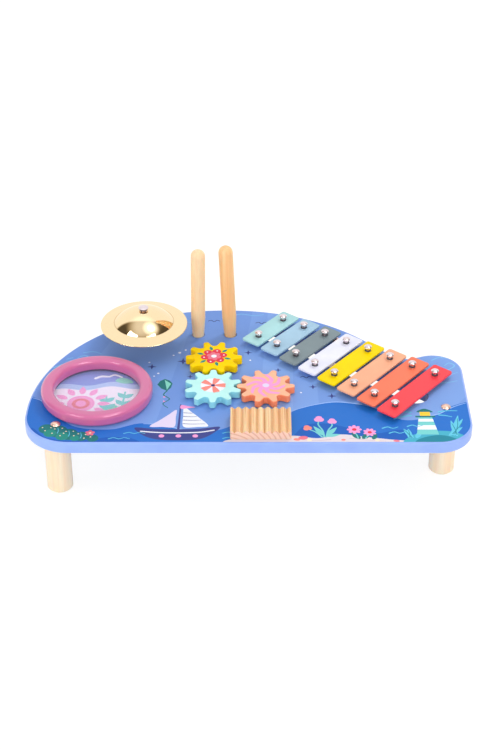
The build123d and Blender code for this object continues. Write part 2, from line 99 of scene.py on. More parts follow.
class Graph:
    """An empty node tree, with short calls for the nodes that repeat."""

    def __init__(self, owner):
        owner.use_nodes = True
        self.tree = owner.node_tree
        self.tree.nodes.clear()

    def node(self, kind, **settings):
        made = self.tree.nodes.new("ShaderNode" + kind)
        for key, value in settings.items():
            setattr(made, key, value)
        return made

    def join(self, source, target):
        self.tree.links.new(source, target)

    def feed(self, socket, value):
        if isinstance(value, bpy.types.NodeSocket):
            self.join(value, socket)
        else:
            socket.default_value = value

    def math(self, operation, *values):
        node = self.node("Math", operation=operation)
        for socket, value in zip(node.inputs, values):
            self.feed(socket, value)
        return node.outputs[0]

    def hypotenuse(self, a, b):
        return self.math("SQRT", self.math("ADD", self.math("POWER", a, 2.0), self.math("POWER", b, 2.0)))

    def place(self, scale=(1, 1, 1), turn=(0, 0, 0), shift=(0, 0, 0)):
        coordinates = self.node("TexCoord")
        mapping = self.node("Mapping")
        self.join(coordinates.outputs["Object"], mapping.inputs["Vector"])
        mapping.inputs["Location"].default_value = shift
        mapping.inputs["Rotation"].default_value = turn
        mapping.inputs["Scale"].default_value = scale
        return mapping.outputs["Vector"]

    def noise(self, scale, detail=2.0, vector=None, roughness=0.5):
        node = self.node("TexNoise")
        self.feed(node.inputs["Vector"], vector or self.place())
        node.inputs["Scale"].default_value = scale
        node.inputs["Detail"].default_value = detail
        node.inputs["Roughness"].default_value = roughness
        return node.outputs["Fac"]

    def spread(self, value, low, high, start=0.0, end=1.0, ease="LINEAR"):
        """A value between low and high, mapped to start and end."""
        node = self.node("MapRange", interpolation_type=ease)
        self.feed(node.inputs["Value"], value)
        for key, number in (("From Min", low), ("From Max", high), ("To Min", start), ("To Max", end)):
            node.inputs[key].default_value = number
        return node.outputs["Result"]

    def mix(self, factor, first, second, blend="MIX"):
        node = self.node("Mix", data_type="RGBA", blend_type=blend)
        self.feed(node.inputs["Factor"], factor)
        self.feed(node.inputs[MIX_FIRST], first)
        self.feed(node.inputs[MIX_SECOND], second)
        return node.outputs[MIX_RESULT]

    def bump(self, height, distance, strength=1.0):
        node = self.node("Bump")
        node.inputs["Strength"].default_value = strength
        node.inputs["Distance"].default_value = distance
        self.feed(node.inputs["Height"], height)
        return node.outputs["Normal"]

    def split(self, vector):
        node = self.node("SeparateXYZ")
        self.join(vector, node.inputs["Vector"])
        return node.outputs

    def facing(self):
        """The X, Y and Z of the surface's normal."""
        return self.split(self.node("NewGeometry").outputs["Normal"])


class Shader(Graph):
    """A material with one principled surface."""

    def __init__(self, name):
        self.material = bpy.data.materials.new(name)
        super().__init__(self.material)
        self.surface = self.node("BsdfPrincipled")
        output = self.node("OutputMaterial")
        self.join(self.surface.outputs["BSDF"], output.inputs["Surface"])

    def set(self, **values):
        for key, value in values.items():
            socket = key.replace("_", " ").title().replace("Ior", "IOR")
            self.feed(self.surface.inputs[socket], value)

    def colour_so_far(self):
        return self.surface.inputs["Base Color"].links[0].from_socket


def paint(name, rgb, roughness, tone, peel=True, gloss=0.4):
    """Sprayed satin paint: faint clouding, fine orange peel, and a gloss that varies a little."""
    shader = Shader(name)
    clouding = shader.spread(shader.noise(38, 3), 0.35, 0.65)
    deep, pale = linear(shade(rgb, 1 - tone)), linear(shade(rgb, 1 + tone))
    shader.set(base_color=shader.mix(clouding, deep, pale), specular_ior_level=gloss)
    shader.set(roughness=shader.spread(clouding, 0, 1, roughness - 0.03, roughness + 0.03))
    if peel:
        shader.set(normal=shader.bump(shader.noise(480, 2), 0.000008))
    return shader


def wood(name, light, dark, along, ring_scale=420):
    """Pale sanded hardwood with its grain along one axis, fine pores and a faint sheen."""
    shader = Shader(name)
    scales = [1.0, 1.0, 1.0]
    scales["XYZ".index(along)] = GRAIN_SCALE
    grain = shader.place(scale=scales)
    broad = shader.spread(shader.noise(ring_scale * 0.28, 3, grain, 0.6), 0.3, 0.72)
    fine = shader.spread(shader.noise(ring_scale * 2.4, 4, grain, 0.65), 0.25, 0.8)
    colour = shader.mix(broad, linear(light), linear(dark))
    pores = shader.mix(shader.math("MULTIPLY", fine, 0.35), colour, linear(shade(dark, 0.86)))
    shader.set(base_color=pores, roughness=shader.spread(fine, 0, 1, 0.44, 0.6))
    shader.set(normal=shader.bump(fine, 0.000014), specular_ior_level=0.35)
    shader.set(subsurface_weight=0.25, subsurface_scale=0.006)
    return shader


def metal(name, rgb, roughness, brushed=0.0, wear_depth=0.07):
    """Bright metal with tiny wear marks, and brushing where asked."""
    shader = Shader(name)
    wear = shader.spread(shader.noise(220, 4, roughness=0.65), 0.35, 0.75)
    shader.set(base_color=shader.mix(wear, linear(rgb), linear(shade(rgb, 1 - wear_depth))), metallic=1.0)
    shader.set(roughness=shader.spread(wear, 0, 1, roughness, roughness + wear_depth))
    if brushed:
        shader.set(normal=shader.bump(shader.noise(2200, 3), 0.000004, brushed))
    return shader


def soft_plastic(name, rgb, roughness, under):
    """Plastic that scatters a share of the light under its surface."""
    shader = paint(name, rgb, roughness, 0.02)
    shader.set(subsurface_weight=under, subsurface_scale=0.002)
    return shader


def dress(node, shader):
    """Gives a CAD node a material through its object's slots."""
    piece = nodes[node]
    if not piece.material_slots:
        piece.data.materials.append(shader.material)
    for slot in piece.material_slots:
        slot.material = shader.material


# ---------------------------------------------------------------- board, drum and wooden pieces

EDGE_BLUE = (149, 177, 245)
SLOT_SHADE_NAVY = (66, 88, 158)
RING_PINK = (210, 106, 156)


def board_paint_and_slot_shade():
    """Periwinkle paint, with navy painted shade inside the sound slot, where its walls lie in shadow."""
    shader = paint("board_paint_and_slot_shade", EDGE_BLUE, 0.34, 0.025)
    turn = math.radians(-SLOT_TURN)
    cosine, sine = math.cos(turn), math.sin(turn)
    x, y = (value * MM for value in ROW_MIDDLE)
    shift = (-(cosine * x - sine * y), -(sine * x + cosine * y), 0)
    down_slot, across_slot, _ = shader.split(shader.place(turn=(0, 0, turn), shift=shift))
    past_reach = shader.math("SUBTRACT", shader.math("ABSOLUTE", down_slot), SLOT_REACH * MM)
    from_middle_line = shader.hypotenuse(shader.math("MAXIMUM", past_reach, 0.0), across_slot)
    inside = shader.math("LESS_THAN", from_middle_line, (SLOT_RADIUS + 0.2) * MM)
    # The navy inside the slot is painted shade on its walls.
    shader.set(base_color=shader.mix(inside, shader.colour_so_far(), linear(SLOT_SHADE_NAVY)))
    return shader


def ring_paint():
    """Pink paint under a coat of gloss."""
    shader = paint("drum_ring_paint", RING_PINK, 0.36, 0.008, peel=False)
    shader.set(coat_weight=0.9, coat_roughness=0.13)
    return shader


def guiro_wood_and_groove_shade():
    """Wood with its grain from front to back, painted shade in the grooves, pinker on the end grain."""
    shader = wood("guiro_wood_and_groove_shade", (255, 228, 184), (246, 194, 142), "Y", ring_scale=520)
    ridge_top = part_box("guiro_block")[1].z
    facing = shader.facing()
    # Painted shade in the grooves: darker the deeper the surface lies below the ridge tops, on upward faces.
    depth = shader.spread(shader.split(shader.place())[2], ridge_top - 0.0006, ridge_top - 0.0028)
    top_side = shader.spread(facing[2], 0.2, 0.5)
    groove_shade = shader.math("MULTIPLY", shader.math("MULTIPLY", depth, depth), top_side)
    streaks = shader.spread(shader.noise(900, 2, shader.place(scale=(1, 0.012, 0.2))), 0.56, 0.7)
    streaks = shader.math("MULTIPLY", streaks, 0.85)
    streaked = shader.mix(streaks, shader.colour_so_far(), linear((208, 144, 88)))
    groove_shaded = shader.mix(shader.math("MULTIPLY", groove_shade, 0.75), streaked, linear((190, 122, 66)))
    rings = shader.node("TexWave", wave_type="RINGS", rings_direction="Y")
    shader.join(shader.place(shift=(0.02, 0, -0.052)), rings.inputs["Vector"])
    for key, number in (("Scale", 70), ("Distortion", 1.6), ("Detail Scale", 1.2)):
        rings.inputs[key].default_value = number
    ring_lines = shader.spread(rings.outputs["Fac"], 0.6, 1.0, 0.0, 0.6)
    end_grain = shader.mix(ring_lines, linear((240, 200, 182)), linear((204, 142, 114)))
    end_side = shader.spread(shader.math("ABSOLUTE", facing[1]), 0.6, 0.8)
    shader.set(base_color=shader.mix(end_side, groove_shaded, end_grain))
    return shader


dress("tabletop", board_paint_and_slot_shade())
dress("drum_ring", ring_paint())
# The hoop is painted dark navy as painted shade, for the shadowed gap where the film meets the ring.
dress("drum_hoop", paint("hoop_painted_shade", (52, 54, 92), 0.4, 0.035))
dress("guiro_block", guiro_wood_and_groove_shade())
dress("beater_left", wood("pale_beater_wood", (255, 239, 201), (255, 211, 159), "Z", ring_scale=360))
dress("beater_right", wood("warm_beater_wood", (255, 224, 172), (254, 190, 126), "Z", ring_scale=360))

leg_wood = wood("leg_wood", (255, 242, 214), (255, 222, 184), "Z")
for name in ("front_left", "right", "rear_left", "rear_right"):
    dress(f"leg_{name}", leg_wood)

inner_wood = wood("inner_wood", (255, 224, 184), (246, 196, 144), "Z")
for name in ("cymbal_post", *(f"gear_{gear}_axle" for gear in GEARS)):
    dress(name, inner_wood)

# ---------------------------------------------------------------- metals, film, felt and plastics

DOME_RADIUS = 30.2
LATHE_PITCH = 0.5


def brass():
    """Spun brass: a mirror with fine lathe lines about the bolt, and a line of painted shade in the crease
    round the dome's foot.
    """
    shader = metal("brass", (254, 228, 184), 0.05, wear_depth=0.012)
    x, y, _ = shader.split(shader.place(shift=(-CYMBAL[0] * MM, -CYMBAL[1] * MM, 0)))
    from_axis = shader.hypotenuse(x, y)
    lines = shader.math("SINE", shader.math("MULTIPLY", from_axis, 2 * math.pi / (LATHE_PITCH * MM)))
    shader.set(normal=shader.bump(lines, 0.0000002))
    # Painted shade: a darker line in the crease where the dome meets the rim.
    from_foot = shader.math("ABSOLUTE", shader.math("SUBTRACT", from_axis, DOME_RADIUS * MM))
    foot_crease_shade = shader.spread(from_foot, 0.0002, 0.0009, 0.5, 0.0)
    shader.set(base_color=shader.mix(foot_crease_shade, shader.colour_so_far(), linear((196, 160, 112))))
    return shader


def clear_film():
    """Clear film with a slight haze."""
    shader = Shader("clear_film")
    haze = shader.spread(shader.noise(90, 3), 0.3, 0.7)
    shader.set(base_color=shader.mix(haze, linear((236, 238, 252)), linear((246, 246, 255))), alpha=0.07)
    shader.set(roughness=shader.spread(haze, 0, 1, 0.05, 0.12), specular_ior_level=0.9)
    return shader


def felt():
    """Pressed felt with short fibres."""
    shader = Shader("felt")
    fibres = shader.noise(2600, 5, roughness=0.8)
    colour = shader.mix(fibres, linear((206, 204, 196)), linear((236, 234, 226)))
    shader.set(base_color=colour, roughness=0.95, normal=shader.bump(fibres, 0.0003), sheen_weight=0.4)
    return shader


steel = metal("zinc_steel", (196, 196, 200), 0.3, 0.6)
for name in ("drum_screws", "guiro_screws", "leg_inserts", "cymbal_nut", "cymbal_nut_washer",
             *(f"gear_{gear}_{part}" for gear in GEARS for part in ("washer", "screw"))):
    dress(name, steel)

chrome = metal("chrome", (240, 226, 230), 0.28)
dress("bar_screws", chrome)
dress("cymbal_bolt", chrome)
dress("leg_bolts", metal("rose_plate", (252, 214, 196), 0.34, 0.3))
dress("cymbal", brass())
dress("cymbal_washer", felt())
dress("drum_skin", clear_film())
# The bar bushes are painted dark: painted shade under the screw heads.
dress("bar_bushes", soft_plastic("bush_painted_shade", (86, 84, 94), 0.3, 0.3))
dress("gear_spacers", soft_plastic("nylon", (228, 228, 226), 0.4, 0.1))

# ---------------------------------------------------------------- coloured gears and bars

# The paint on each gear's face, and a darker, deeper colour on its rim that is painted shade on the gear's
# sides
GEAR_PAINTS_AND_RIM_SHADES = {
    "teal": ((192, 246, 243), (146, 218, 228)),
    "yellow": ((255, 213, 0), (255, 208, 0)),
    "orange": ((255, 186, 150), (255, 144, 100)),
}
BAR_ENAMELS = {
    "mint": (172, 220, 224), "light_blue": (164, 200, 224), "grey_green": (124, 140, 146),
    "white": (234, 235, 255), "yellow": (254, 218, 0), "peach": (252, 178, 140),
    "orange": (252, 122, 88), "red": (250, 66, 76),
}
GEAR_GLOSS, BAR_GLOSS, YELLOW_GLOSS = 0.3, 0.4, 0.12

for name, (face, rim_shade) in GEAR_PAINTS_AND_RIM_SHADES.items():
    gear_paint_and_shade = paint(f"gear_paint_and_shade_{name}", face, 0.42, 0.02,
                       gloss=YELLOW_GLOSS if name == "yellow" else GEAR_GLOSS)
    # Faces that turn away from the top take the rim's colour: painted shade on the sides.
    upward = gear_paint_and_shade.spread(gear_paint_and_shade.facing()[2], 0.25, 0.8)
    gear_paint_and_shade.set(base_color=gear_paint_and_shade.mix(upward, linear(rim_shade), gear_paint_and_shade.colour_so_far()))
    dress(f"gear_{name}", gear_paint_and_shade)

for name, rgb in BAR_ENAMELS.items():
    dress(f"bar_{name}", paint(f"bar_enamel_{name}", rgb, 0.36, 0.02,
                               gloss=YELLOW_GLOSS if name == "yellow" else BAR_GLOSS))

# ---------------------------------------------------------------- plane figures for the prints

# A leaf's outline from its stem's end, in shares of its length and its width
LEAF = ((0, 0), (0.22, 0.42), (0.55, 0.5), (0.85, 0.22), (1, 0), (0.85, -0.22), (0.55, -0.5), (0.22, -0.42))


def polar(x, y, radius, bearing):
    """The point at a radius and a bearing in degrees from a centre."""
    angle = math.radians(bearing)
    return x + radius * math.cos(angle), y + radius * math.sin(angle)


def placed(points, x, y, turn=0.0):
    """Points turned about the origin by some degrees, then moved to a place."""
    cosine, sine = math.cos(math.radians(turn)), math.sin(math.radians(turn))
    return [(x + cosine * u - sine * v, y + sine * u + cosine * v) for u, v in points]


def circle(x, y, radius, second_radius=None, turn=0.0, count=28):
    """A circle, or an ellipse where a second radius is given."""
    angles = [2 * math.pi * i / count for i in range(count)]
    second_radius = second_radius or radius
    return placed([(radius * math.cos(a), second_radius * math.sin(a)) for a in angles], x, y, turn)


def sparkle(x, y, radius):
    """A star with four long points."""
    return [polar(x, y, radius * (0.3 if i % 2 else 1.0), 90 + 45 * i) for i in range(8)]


def flower(x, y, radius, depth, petals, turn=0.0):
    """A flower's outline, cut in between its petals by a share of its radius."""
    points = []
    for bearing in range(0, 360, 5):
        swell = abs(math.cos(petals * math.radians(bearing) / 2)) ** 0.7
        points.append(polar(x, y, radius * (1 - depth + depth * swell), bearing + turn))
    return points


def spline(points, closed, steps=6):
    """A Catmull-Rom curve through the points."""
    count = len(points)
    out = []
    for i in range(count if closed else count - 1):
        if closed:
            p = [points[(i + k) % count] for k in (-1, 0, 1, 2)]
        else:
            p = [points[min(max(i + k, 0), count - 1)] for k in (-1, 0, 1, 2)]
        for step in range(steps):
            t = step / steps
            out.append(tuple(
                0.5 * (2 * p[1][k] + (p[2][k] - p[0][k]) * t
                       + (2 * p[0][k] - 5 * p[1][k] + 4 * p[2][k] - p[3][k]) * t * t
                       + (3 * p[1][k] - p[0][k] - 3 * p[2][k] + p[3][k]) * t ** 3)
                for k in (0, 1)))
    if not closed:
        out.append(points[-1])
    return out


def blob(*points, steps=6):
    """A closed figure with a smooth outline."""
    return spline(points, True, steps)


def stroke(points, width, end):
    """A brush line along a smooth path, from one width to another, with rounded tips."""
    path = spline(points, False)
    left, right = [], []
    last = len(path) - 1
    for i, (x, y) in enumerate(path):
        x0, y0 = path[max(i - 1, 0)]
        x1, y1 = path[min(i + 1, last)]
        length = math.hypot(x1 - x0, y1 - y0) or 1.0
        nx, ny = -(y1 - y0) / length, (x1 - x0) / length
        half = (width + (end - width) * i / last) / 2
        left.append((x + nx * half, y + ny * half))
        right.append((x - nx * half, y - ny * half))

    def tip(centre, side, radius):
        first = math.degrees(math.atan2(side[1] - centre[1], side[0] - centre[0]))
        return [polar(*centre, radius, first - 36 * k) for k in range(1, 5)]

    return left + tip(path[-1], left[-1], end / 2) + right[::-1] + tip(path[0], right[0], width / 2)


def leaf(x, y, length, width, turn):
    """A pointed leaf from its stem's end, at a bearing in degrees."""
    return blob(*placed([(u * length, v * width) for u, v in LEAF], x, y, turn), steps=4)


def left_of(direction):
    return Vector((-direction.y, direction.x))


def sides(corners, i):
    """The directions into a corner and out of it."""
    after = corners[(i + 1) % len(corners)]
    return (corners[i] - corners[i - 1]).normalized(), (after - corners[i]).normalized()


def rounded_outline(corners, radii, inset, step=4.0):
    """A counter-clockwise outline, with arcs of the given radii at its corners, moved inward."""
    corners = [Vector(corner) for corner in corners]
    moved = []
    for i, corner in enumerate(corners):
        inward = [left_of(side) for side in sides(corners, i)]
        moved.append(corner + (inward[0] + inward[1]) * (inset / (1 + inward[0].dot(inward[1]))))
    out = []
    for i, (corner, radius) in enumerate(zip(moved, radii)):
        into, out_of = sides(moved, i)
        turn = math.atan2(into.x * out_of.y - into.y * out_of.x, into.dot(out_of))
        radius -= math.copysign(inset, turn)
        start = corner - into * radius * math.tan(abs(turn) / 2)
        centre = start + left_of(into) * math.copysign(radius, turn)
        steps = max(4, round(abs(turn) * radius / step))
        first = math.degrees(math.atan2(start.y - centre.y, start.x - centre.x))
        out += [polar(*centre, radius, first + math.degrees(turn) * k / steps) for k in range(steps + 1)]
    return out


# ---------------------------------------------------------------- printed films

FILM_LIFT = 0.06
INKS = {
    "water": (114, 152, 222), "water_light": (122, 160, 227), "water_pale": (130, 168, 232),
    "deep": (34, 110, 202), "deeper": (20, 92, 186), "foam": (150, 186, 244), "faint": (126, 190, 236),
    "navy": (58, 66, 138), "ink": (40, 46, 108), "sand": (222, 212, 222), "sand_dark": (206, 190, 204),
    "white": (240, 242, 252), "lilac": (226, 214, 242), "pearl": (246, 234, 250), "sky": (132, 150, 224),
    "haze": (176, 198, 242), "pink": (246, 158, 214), "rose": (232, 118, 140), "red": (226, 52, 74),
    "cream": (246, 226, 196), "cyan": (96, 196, 226), "aqua": (118, 206, 208), "teal": (24, 116, 118),
    "green": (30, 140, 128), "mint": (134, 216, 198), "yellow": (252, 206, 60), "coral": (246, 140, 130),
    "lagoon": (66, 172, 200), "lagoon_dark": (30, 132, 156),
}
CUT = None


def printed_ink():
    """Printing ink on satin paint: the colour of each figure, darker towards the back left and lighter
    towards the front right, partly the print's own gradient and partly painted light.
    """
    shader = Shader("printed_ink")
    ink = shader.node("VertexColor", layer_name="ink").outputs["Color"]
    x, y, _ = shader.split(shader.place())
    # The gradient across the board is partly the print's own and partly painted light: darker at the back
    # left, lighter at the front right.
    print_and_light_gradient = shader.math("ADD", shader.math("MULTIPLY", x, 1.1), shader.math("MULTIPLY", y, -1.6))
    print_and_light_gradient = shader.math("ADD", print_and_light_gradient, shader.math("MULTIPLY", shader.noise(9, 2), 0.25))
    tint = shader.mix(shader.spread(print_and_light_gradient, -0.25, 0.45), (0.93, 0.95, 1.0, 1), (1.1, 1.08, 1.04, 1))
    dots = shader.spread(shader.noise(3200, 2), 0.3, 0.7, 0.97, 1.03)
    grey = shader.node("CombineXYZ")
    for socket in grey.inputs:
        shader.join(dots, socket)
    tinted = shader.mix(1.0, ink, tint, "MULTIPLY")
    shader.set(base_color=shader.mix(1.0, tinted, grey.outputs[0], "MULTIPLY"), specular_ior_level=0.22)
    shader.set(roughness=shader.spread(shader.noise(140, 2), 0.3, 0.7, 0.3, 0.42))
    shader.set(normal=shader.bump(shader.noise(1300, 2), 0.000015))
    return shader


INK = printed_ink()


def print_film(name, body, height, layers):
    """A printed film of figures, each with its ink, kept inside the first.

    Where figures overlap, the last one shows, and a cut leaves a hole.
    """
    coordinates, faces = [], []
    for figure, _ in layers:
        area = sum(a[0] * b[1] - b[0] * a[1] for a, b in zip(figure, figure[1:] + figure[:1]))
        loop = figure if area > 0 else figure[::-1]
        faces.append(list(range(len(coordinates), len(coordinates) + len(loop))))
        coordinates += [Vector(point) for point in loop]
    points, _, triangles, _, _, owners = delaunay_2d_cdt(coordinates, [], faces, 1, 1e-4)
    kept, colours = [], []
    for triangle, owner in zip(triangles, owners):
        ink = layers[max(owner)][1] if 0 in owner else CUT
        if ink is not CUT:
            kept.append(list(triangle))
            colours.append(linear(INKS[ink]))
    used = sorted({v for triangle in kept for v in triangle})
    renumber = {old: new for new, old in enumerate(used)}
    mesh = bpy.data.meshes.new(name)
    mesh.from_pydata([(points[v].x * MM, points[v].y * MM, height * MM) for v in used], [],
                     [[renumber[v] for v in triangle] for triangle in kept])
    attribute = mesh.color_attributes.new("ink", "FLOAT_COLOR", "CORNER")
    for polygon, colour in zip(mesh.polygons, colours):
        for loop in polygon.loop_indices:
            attribute.data[loop].color = colour
    mesh.materials.append(INK.material)
    piece = bpy.data.objects.new(name, mesh)
    bpy.context.scene.collection.objects.link(piece)
    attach(piece, body)


# ---------------------------------------------------------------- the picture on the board

PRINT_MARGIN = 2.0
CORNERS = ((LEFT, FRONT), (RIGHT, FRONT), (RIGHT, 46), (156, 22), (64, BACK), (LEFT, BACK))
RADII = (45, 35, 28, 20, 194.07, 187)
picture = [(rounded_outline(CORNERS, RADII, PRINT_MARGIN), "water")]


def draw(ink, *figures):
    picture.extend((figure, ink) for figure in figures)


# Shafts of light across the water
draw("water_light",
     [(-118, 130), (-52, 130), (-96, -130), (-205, -130)],
     [(6, 130), (66, 130), (70, -130), (-22, -130)],
     [(120, 130), (230, 130), (230, -20), (150, -130), (112, -130)])
draw("water_pale",
     [(22, 130), (48, 130), (42, -130), (6, -130)])

# Deep swells along the front
draw("deep",
     blob((-240, -52), (-214, -42), (-192, -62), (-168, -92), (-132, -98), (-104, -88), (-78, -92),
          (-52, -104), (-26, -98), (4, -84), (4, -140), (-240, -140)),
     blob((-8, -92), (28, -78), (56, -60), (86, -52), (118, -60), (148, -82), (176, -76), (204, -56),
          (240, -52), (240, -140), (-8, -140)))
draw("foam",
     stroke([(-213, -44), (-202, -50), (-190, -64), (-178, -80)], 0.6, 1.8),
     stroke([(-100, -88.5), (-84, -90), (-68, -96), (-52, -103)], 0.8, 2.0),
     stroke([(44, -66), (64, -57), (86, -52), (110, -56)], 0.6, 1.8),
     stroke([(166, -79), (184, -72), (200, -60), (212, -54)], 1.8, 0.6))
draw("deeper",
     blob((-214, -140), (-208, -96), (-190, -112), (-160, -116), (-128, -110), (-104, -116), (-96, -140)),
     blob((44, -140), (50, -96), (72, -88), (98, -96), (122, -104), (150, -100), (162, -140)))

# A strip of beach in front
draw("sand",
     blob((-30, -140), (-24, -118), (-6, -112), (16, -109), (44, -108), (66, -112), (88, -106),
          (112, -110), (134, -114), (160, -119), (186, -140)))
draw("sand_dark",
     stroke([(46, -113), (62, -116), (78, -114)], 0.5, 1.2),
     stroke([(96, -112), (112, -115), (130, -117)], 1.2, 0.5))
draw("rose", circle(52, -111.5, 4.6, 2.9, 8), circle(140, -116.2, 3.0, 1.6, -6))
draw("coral", circle(46, -114, 3.2, 2.0, -10), circle(90, -114.6, 2.2, 1.5))
draw("cream", circle(58, -114.6, 2.6, 1.8, 4), circle(122, -115.2, 2.2, 1.4))

# Sailing boat between the drum and the scraper
draw("navy",
     blob((-108, -95), (-101, -106), (-88, -113.5), (-66, -115.5), (-46, -113.5), (-34, -105),
          (-27, -93.5), (-46, -96.5), (-66, -97.5), (-88, -97)),
     stroke([(-66.5, -97), (-66, -80), (-65.6, -57)], 2.4, 1.4))
draw("white",
     stroke([(-102, -100.8), (-86, -102.8), (-66, -103.4), (-46, -102.4), (-32.5, -99)], 1.6, 1.6),
     blob((-61.5, -93.5), (-62.5, -76), (-62, -61.5), (-54, -70), (-46, -80), (-38, -92), (-48, -93.8)))
draw("navy",
     *(stroke([(-62.2, y), (-54, y - 0.6), (x, y - 0.2)], 0.9, 0.5)
       for y, x in ((-70.5, -54.5), (-76.5, -49.6), (-82.5, -45.2), (-88.5, -41.2))))
draw("lilac",
     blob((-70.5, -93.5), (-69.6, -78), (-69.4, -65.5), (-77, -74), (-85, -83), (-94, -93), (-82, -93.8)))
draw("pink",
     *(circle(x, -108.4, 2.7, 2.5) for x in (-82, -66, -50)),
     blob((-65, -57.5), (-58, -59.2), (-51.5, -61.2), (-58, -62.6), (-65.2, -63.6)))
draw("cyan",
     *(stroke([(x, y), (x + 5, y + 1.8), (x + 10, y), (x + 15, y + 1.8), (x + 20, y)], 1.0, 0.7)
       for x, y in ((-132, -113), (-118, -104.5), (-24, -104), (-24, -112.5))))

# Round bushes with dots at the left corner
draw("teal",
     *(circle(x, y, r) for x, y, r in
       ((-192, -97, 7.5), (-181, -101, 9.5), (-170, -106, 9.0), (-158, -109, 7.4), (-147, -112, 5.6))))
draw("green",
     *(circle(x, y, r) for x, y, r in ((-188, -104, 6.0), (-176, -109, 6.2), (-164, -112, 4.4))))
draw("cyan",
     *(stroke([(x, y), (x + 0.6, y + 4), (x - 0.4, y + 9)], 0.9, 0.5)
       for x, y in ((-181, -104), (-170, -109), (-158.5, -112))))
draw("cream",
     *(circle(x, y, 0.75, count=10) for x, y in
       ((-196, -95), (-193, -100), (-188, -95), (-186, -104), (-184, -97), (-177, -96), (-175, -104),
        (-178, -108), (-173, -101), (-166, -101), (-165, -108), (-161, -105), (-154, -106), (-155, -112),
        (-149, -110))))
draw("rose", flower(-150, -103.5, 4.6, 0.4, 5, 18))
draw("cream", circle(-150, -103.5, 1.2, count=12))

# Tulips and daisies to the right of the scraper
draw("aqua",
     stroke([(72, -110), (71, -100), (67, -90), (68, -84)], 1.8, 1.2),
     stroke([(74, -110), (76, -100), (80, -92), (80, -88)], 1.8, 1.2),
     stroke([(70, -110), (64, -102), (58, -98)], 1.7, 1.2),
     leaf(72, -108, 18, 5.2, 122), leaf(74, -108, 17, 5.2, 52), leaf(73, -109, 15, 4.6, 12))
draw("pink", flower(68, -81, 5.0, 0.3, 3, 90), flower(80.5, -84.5, 4.6, 0.3, 3, 90))
draw("coral", flower(56.5, -95.5, 4.4, 0.3, 3, 110))
draw("teal", leaf(106, -113, 13, 6, 128), leaf(108, -113, 12, 6, 50), leaf(118, -114, 10, 5, 70))
draw("pink", flower(101, -98, 7.2, 0.42, 8), flower(115.5, -102.5, 6.4, 0.42, 8, 20))
draw("red", circle(101, -98, 2.2, count=16), circle(115.5, -102.5, 2.0, count=16))
draw("aqua",
     stroke([(104, -112), (103, -107), (101.6, -104.6)], 1.4, 1.0),
     stroke([(111, -112), (113, -109), (114.4, -108)], 1.4, 1.0))

# Islet with leaves at the right corner
draw("lagoon",
     blob((146, -118), (156, -107), (170, -102), (184, -100), (198, -103), (208, -112), (206, -126),
          (150, -126)))
draw("lagoon_dark",
     blob((158, -117), (168, -110), (182, -107), (194, -111), (202, -119), (196, -126), (162, -126)))
draw("cyan",
     *(leaf(x, y, length, 5.0, bearing) for x, y, length, bearing in
       ((192, -107, 30, 62), (195, -108, 34, 78), (198, -109, 26, 98), (190, -108, 20, 44),
        (156, -112, 17, 118), (153, -112, 15, 92), (159, -112, 12, 66))))
draw("lagoon_dark",
     *(stroke(points, 0.9, 0.5) for points in
       ([(194, -105), (201, -94), (205, -86)], [(196, -105), (200, -92), (201, -80)],
        [(198, -106), (197, -97), (195, -88)], [(155, -111), (151, -103), (148, -98)],
        [(153, -111), (153, -104), (152.6, -99)])))

# Lighthouse on the islet, with its beams, and small waves beside it
draw("aqua", [(160, -106), (164, -78), (177, -78), (181, -106)])
draw("white",
     [(161.1, -98), (162.1, -91), (178.8, -91), (179.8, -98)],
     [(163, -85), (163.6, -80.5), (177.4, -80.5), (178, -85)])
draw("teal",
     [(161, -78), (161, -75.4), (180, -75.4), (180, -78)],
     blob((162.5, -69), (170.5, -63.5), (178.5, -69), (170.5, -70)))
draw("yellow", [(165.5, -75.4), (165.5, -69), (175.5, -69), (175.5, -75.4)])
draw("cyan",
     stroke([(157, -70), (148, -68), (139, -69)], 1.8, 0.8),
     stroke([(157, -75), (148, -77), (140, -81)], 1.8, 0.8),
     stroke([(184, -69), (192, -67), (202, -67)], 1.8, 0.9),
     stroke([(184, -74), (190, -75), (196, -77)], 1.8, 0.9),
     *(stroke([(x, y), (x + 5, y + 2.2), (x + 10, y), (x + 15, y + 2.2)], 1.5, 0.8)
       for x, y in ((128, -96), (134, -104), (152, -93))))

# Wind at the left and the right
draw("faint",
     stroke([(-196, 8), (-184, 16), (-170, 17), (-161, 24), (-166, 31), (-173, 27)], 1.5, 0.8),
     stroke([(-189, 2), (-174, 9), (-158, 10), (-146, 17), (-148, 25), (-155, 24)], 1.3, 0.7),
     stroke([(-168, 36), (-158, 38), (-150, 34)], 1.2, 0.7),
     stroke([(-184, 24), (-178, 27)], 1.2, 0.9),
     stroke([(178, 6), (190, 2), (201, 5), (208, 12), (203, 17), (198, 12)], 1.8, 0.9),
     stroke([(172, -3), (186, -8), (200, -5), (210, 0)], 1.5, 0.7),
     stroke([(182, -16), (194, -19), (208, -15)], 1.6, 0.8),
     stroke([(186, 22), (194, 27), (203, 25)], 1.4, 0.7))

# Kite on a long tail beside the drum
draw("teal",
     blob((-83, -12), (-75, -20), (-80, -33), (-90, -22), steps=2),
     stroke([(-80, -33), (-83, -40), (-77, -47), (-83, -55), (-78, -62)], 1.4, 0.9))
draw("mint", [(-83, -13.5), (-80.2, -31.5), (-76.4, -20.4)])
draw("pink",
     *(blob((x - 2.6, y + 1.5), (x, y), (x + 2.6, y + 1.5), (x + 2.6, y - 1.5), (x, y), (x - 2.6, y - 1.5),
            steps=1)
       for x, y in ((-80.4, -43.5), (-80.4, -51))))

